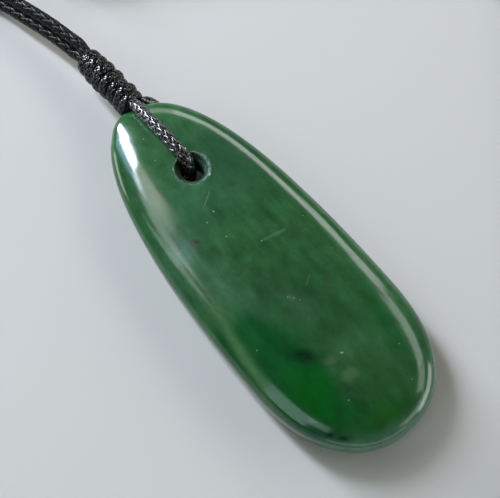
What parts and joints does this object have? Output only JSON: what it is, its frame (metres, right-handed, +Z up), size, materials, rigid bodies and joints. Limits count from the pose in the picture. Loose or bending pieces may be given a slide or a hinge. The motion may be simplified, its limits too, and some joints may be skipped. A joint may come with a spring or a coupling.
{
  "type": "toki pendant",
  "caption": "Adze-shaped greenstone pendant, drilled near its narrow end and hung on a plaited, waxed black neck cord bound with a thread whipping.",
  "frame": {"origin": "on the surface that the pendant lies on, below the middle of the box around the stone, the hitch and the whipping", "axes": "+Z is up from the surface, and +Y is the way in which the viewer looks in the picture, so +X is to the right; the stone's top end points 38 degrees to the left of +Y"},
  "size_m": [0.0851, 0.0829, 0.0079],
  "materials": {
    "greenstone": "polished green nephrite with paler veils, fine scratches and small pale inclusions",
    "waxed_cord": "tight round plait of waxed black thread, with a soft sheen",
    "waxed_thread": "waxed black thread with small bright glints"
  },
  "bodies": {
    "root": {"toki": "greenstone", "hitch_cord": "waxed_cord", "whipping": "waxed_thread", "neck_cord_left": "waxed_cord", "neck_cord_right": "waxed_cord", "closing_knot": "waxed_cord"}
  },
  "joints": []
}
